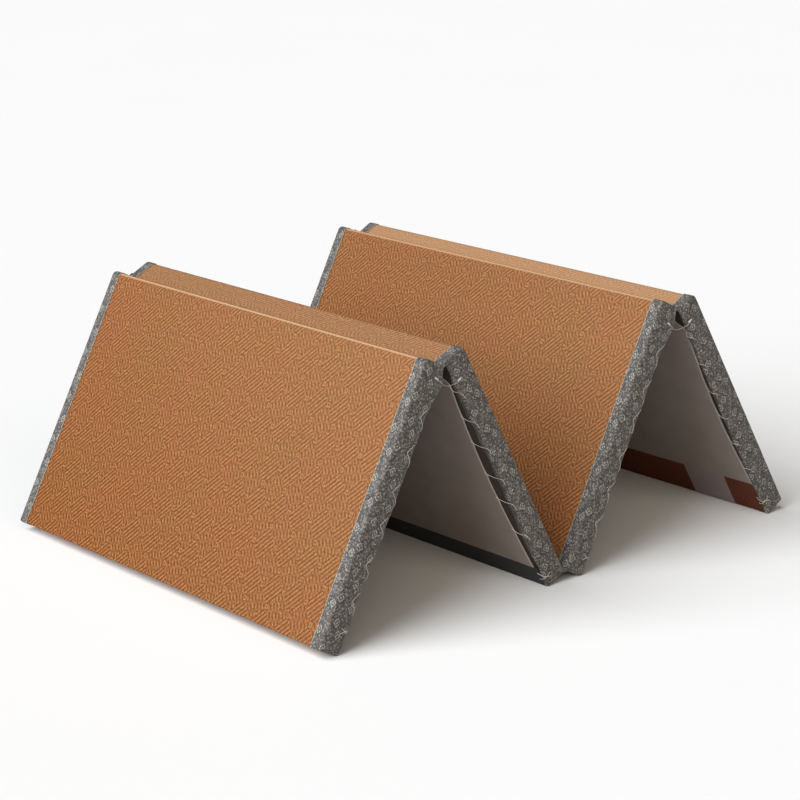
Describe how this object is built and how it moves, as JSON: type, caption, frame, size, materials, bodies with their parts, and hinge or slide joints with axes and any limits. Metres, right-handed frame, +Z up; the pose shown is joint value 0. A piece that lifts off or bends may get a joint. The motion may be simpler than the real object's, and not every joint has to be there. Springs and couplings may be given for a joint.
{
  "type": "folding tatami mat",
  "caption": "Folding floor mat of stiff padded panels in woven cloth with brocade edge bindings, hinged by its cloth and standing in a zigzag.",
  "frame": {"origin": "bottom centre of the box round the standing mat", "axes": "+X along the zigzag from panel 1 to panel 4, +Y along the folds from the near side edge to the far one, +Z up"},
  "size_m": [1.1038, 0.9, 0.4615],
  "materials": {
    "filling": "stiff padded filling in its cover, matte",
    "woven_face": "rush-like weave in stepped diagonal blocks, honey brown, slight sheen",
    "brocade_binding": "grey brocade with a small diamond pattern, matte",
    "nonwoven_lining": "smooth pale grey nonwoven cloth, matte",
    "black_tape": "black woven tape, matte",
    "blank_label": "bare satin label, grey-white"
  },
  "bodies": {
    "root": {"padded_panel_1": "filling", "padded_panel_2": "filling", "padded_panel_3": "filling", "padded_panel_4": "filling", "face_cloth": "woven_face", "edge_binding_near": "brocade_binding", "edge_binding_far": "brocade_binding", "backing_lining_1": "nonwoven_lining", "backing_lining_2": "nonwoven_lining", "hinge_tape": "black_tape", "blank_label": "blank_label"}
  },
  "joints": []
}
